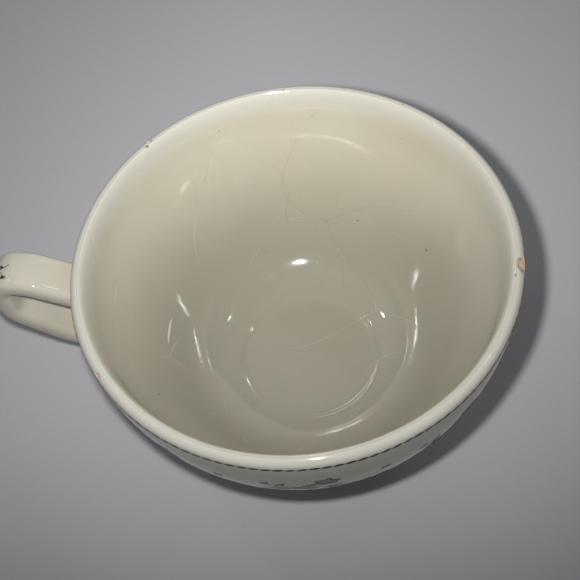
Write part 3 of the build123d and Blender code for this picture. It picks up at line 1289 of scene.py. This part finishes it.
class TEACUP_OT_print(Operator):
    """Print the rim border and the sprigs round the side, and the spray on the handle"""

    bl_idname = "teacup.print"
    bl_label = "Printed pattern"

    def execute(self, context):
        scene = context.scene
        shape, colours, prints = scene.teacup_shape, scene.teacup_colours, scene.teacup_print
        o = cup_outline(shape)
        ink = print_material("brown_print_hatched", colours, 0.5)
        line_ink = print_material("brown_print_line", colours, 0.06)
        tree = bpy.data.node_groups.get("Wrap round the side") or wrap_tree()
        common = {
            "Rim radius": COAT_HIGH.x,
            "Side radius": shape.side_radius,
            "Rim height": o["side_centre"][1],
            "Finish": ink,
        }
        pitch = 2 * pi * COAT_HIGH.x / prints.dashes
        stroke_share, stroke_width = 0.90, 0.00092
        room = shape.print_room * 0.8
        border = {
            "Finish": line_ink, "Count": prints.dashes, "Drop": 0.0002,
            "Size spread": 0.08, "Tilt": 0.03, "Seed": prints.seed,
        }
        side = {
            "Count": prints.sprigs, "Drop": prints.sprig_drop,
            "Size spread": 0.04, "Tilt": 0.05, "Seed": prints.seed + 3,
        }
        for name, motif, settings in (
            ("rim_border_print", dash_mesh(pitch * stroke_share, stroke_width), border),
            ("sprig_print", sprig_mesh(), side),
        ):
            sheet = grown(name, motif, tree, {**common, **settings})
            thicken(sheet, room)
            hand_over(sheet, "outer_glaze")
        motif = sprig_mesh()
        motif.materials.append(ink)
        spray = on_strap("handle_spray_print", motif, prints.spray_middle, 0.5, room)
        hand_over(spray, "handle")
        return {"FINISHED"}


def thicken(piece, depth):
    """Turn a printed sheet's faces away from the axis and give it its slight thickness."""
    for polygon in piece.data.polygons:
        middle = polygon.center
        if polygon.normal.dot(Vector((middle.x, middle.y, 0))) < 0:
            polygon.flip()
    piece.data.update()
    solidify(piece, depth)


class TEACUP_OT_stage(Operator):
    """Set the pale floor, the soft lights and the camera"""

    bl_idname = "teacup.stage"
    bl_label = "Stage"

    def execute(self, context):
        scene = context.scene
        stage, colours = scene.teacup_stage, scene.teacup_colours
        floor = ring_floor("stage_floor", 1.2, floor_material(colours))

        at, aim = Vector(stage.camera_at), Vector(stage.camera_aim)
        ahead = (aim - at).normalized()
        right = ahead.cross(Vector((0, 0, 1))).normalized()
        up = right.cross(ahead)
        roll = stage.camera_roll
        turned_right = right * cos(roll) + up * sin(roll)
        turned_up = up * cos(roll) - right * sin(roll)
        data = bpy.data.cameras.new("stage_camera")
        data.lens, data.sensor_width, data.clip_start = stage.lens, 36.0, 0.01
        camera = linked("stage_camera", data)
        axes = Matrix((turned_right, turned_up, -ahead)).transposed().to_4x4()
        camera.matrix_world = Matrix.Translation(at) @ axes
        scene.camera = camera

        for name, place, aim, size, power, spread, tint in (
            ("near_lamp", (0.009, -0.088, 0.198), (-0.03, 0.16, 0), 0.008, 0.145, 100, (1.0, 0.985, 0.95)),
            ("back_soft", (0.30, 0.95, 0.45), (0, 0, 0.03), 0.9, 1.3, 180, (1.0, 0.99, 0.97)),
            ("ceiling_soft", (-0.35, 0.10, 1.1), (0, 0, 0.03), 1.1, 0.75, 180, (1.0, 0.98, 0.95)),
            ("ceiling_lamp_left", (-0.55, 0.30, 1.1), (0, 0, 0.03), 0.06, 0.25, 180, (1.0, 0.97, 0.92)),
            ("ceiling_lamp_right", (0.60, 0.25, 1.1), (0, 0, 0.03), 0.06, 0.15, 180, (1.0, 0.97, 0.92)),
        ):
            lamp = bpy.data.lights.new(name, "AREA")
            lamp.shape, lamp.size, lamp.energy, lamp.color = "DISK", size, power, tint
            lamp.spread = radians(spread)
            light = linked(name, lamp)
            light.location = place
            light.rotation_euler = (Vector(aim) - light.location).to_track_quat("-Z", "Y").to_euler()
            light.visible_camera = False
        world = bpy.data.worlds.new("stage_world")
        world.use_nodes = True
        background = world.node_tree.nodes["Background"]
        background.inputs["Color"].default_value = (0.86, 0.88, 0.92, 1.0)
        background.inputs["Strength"].default_value = 0.09
        scene.world = world
        scene.view_settings.view_transform = "Standard"
        return {"FINISHED"}


def ring_floor(name, reach, material):
    """Make a flat round floor at the height that the cup stands on."""
    mesh = bmesh.new()
    bmesh.ops.create_circle(mesh, cap_ends=True, segments=96, radius=reach)
    for vert in mesh.verts:
        vert.co.z = CAD_BOX[0][2]
    data = mesh_of(name, mesh)
    data.materials.append(material)
    return linked(name, data)


# ---------------------------------------------------------------- panel and run


class TEACUP_PT_panel(Panel):
    """Sizes, colours and pieces of the teacup"""

    bl_idname = "TEACUP_PT_panel"
    bl_label = "Teacup"
    bl_space_type = "VIEW_3D"
    bl_region_type = "UI"
    bl_category = "Teacup"

    def draw(self, context):
        for group in ("teacup_shape", "teacup_print", "teacup_colours", "teacup_stage"):
            column = self.layout.column(align=True)
            holder = getattr(context.scene, group)
            for key in holder.__annotations__:
                column.prop(holder, key)
        for operator in OPERATORS:
            self.layout.operator(operator.bl_idname)


GROUPS = {
    "teacup_shape": TeacupShape,
    "teacup_print": TeacupPrint,
    "teacup_colours": TeacupColours,
    "teacup_stage": TeacupStage,
}
OPERATORS = (TEACUP_OT_body, TEACUP_OT_foot, TEACUP_OT_handle, TEACUP_OT_print, TEACUP_OT_stage)


def register():
    """Register the classes and hang their properties on the scene."""
    for made in (*GROUPS.values(), *OPERATORS, TEACUP_PT_panel):
        bpy.utils.register_class(made)
    for key, made in GROUPS.items():
        setattr(bpy.types.Scene, key, PointerProperty(type=made))


def unregister():
    """Take the properties and classes away again."""
    for key in GROUPS:
        delattr(bpy.types.Scene, key)
    for made in (TEACUP_PT_panel, *reversed(OPERATORS), *reversed(list(GROUPS.values()))):
        bpy.utils.unregister_class(made)


def main():
    """Register the classes and build every piece."""
    register()
    for built in (
        bpy.ops.teacup.body,
        bpy.ops.teacup.foot,
        bpy.ops.teacup.handle,
        bpy.ops.teacup.print,
        bpy.ops.teacup.stage,
    ):
        built()


if __name__ == "__main__":
    main()
